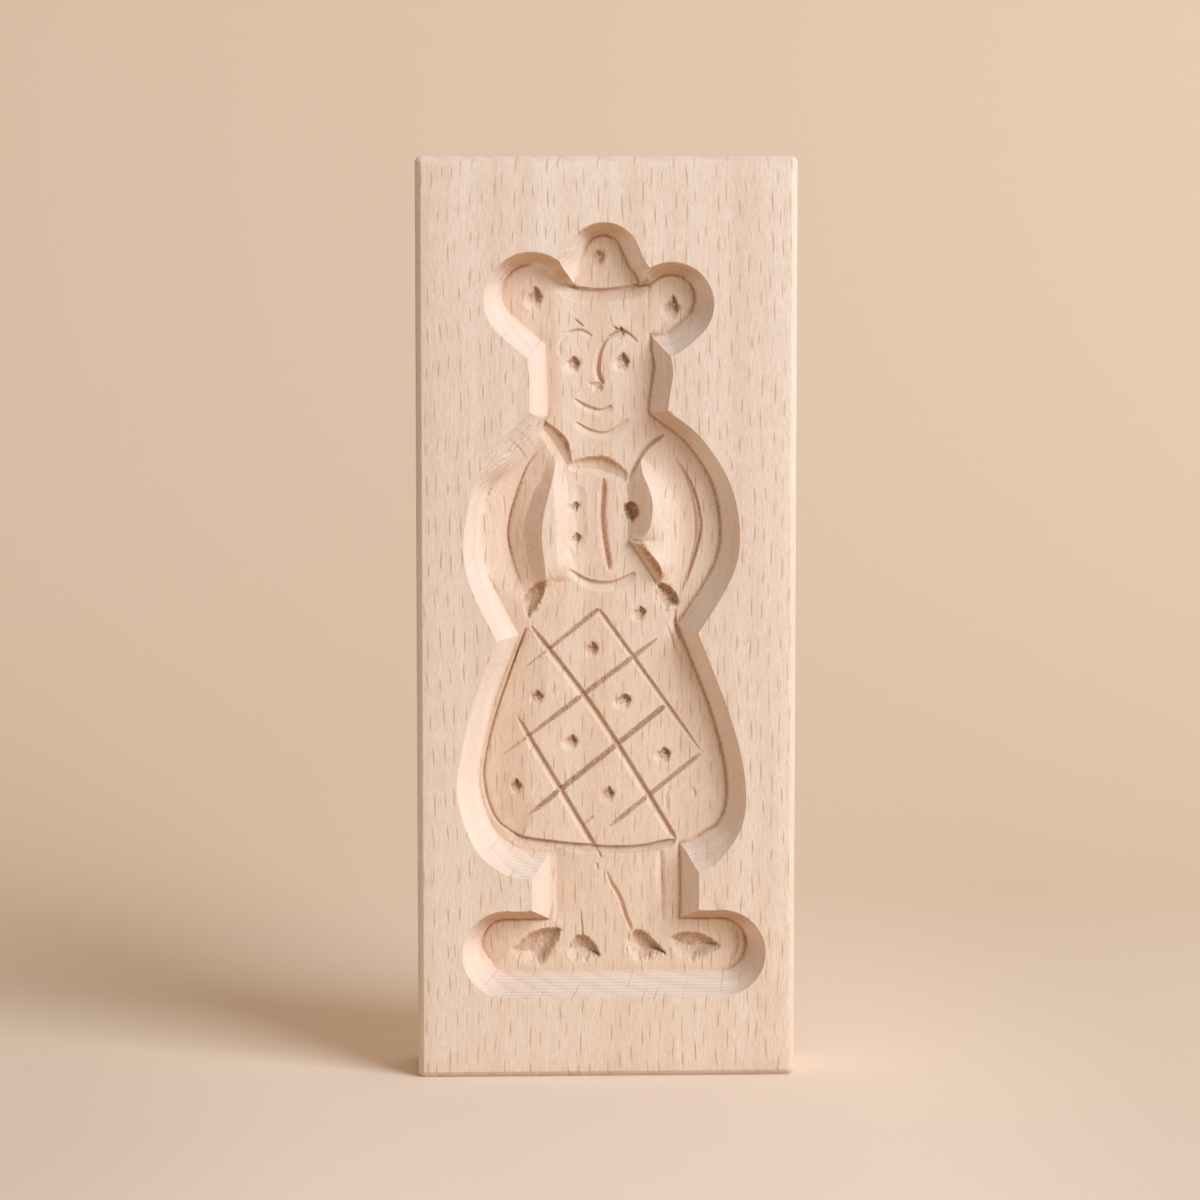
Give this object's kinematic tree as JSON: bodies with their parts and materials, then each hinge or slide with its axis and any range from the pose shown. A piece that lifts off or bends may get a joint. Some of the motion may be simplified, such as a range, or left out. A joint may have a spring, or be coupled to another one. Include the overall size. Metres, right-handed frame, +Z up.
{
  "type": "speculaas board",
  "caption": "Wooden biscuit mould: an upright rectangular block with a hollow doll figure carved into its front for shaping spiced dough.",
  "frame": {"origin": "middle of the block's bottom end, on the surface it stands on", "axes": "+Z up along the grain and the figure's height, +X to the figure's right-hand side as the viewer sees it, the carved face looks along -Y"},
  "size_m": [0.082, 0.024, 0.2],
  "materials": {
    "beech": "fine-sanded, unoiled, matte"
  },
  "bodies": {
    "root": {"board": "beech"}
  },
  "joints": []
}
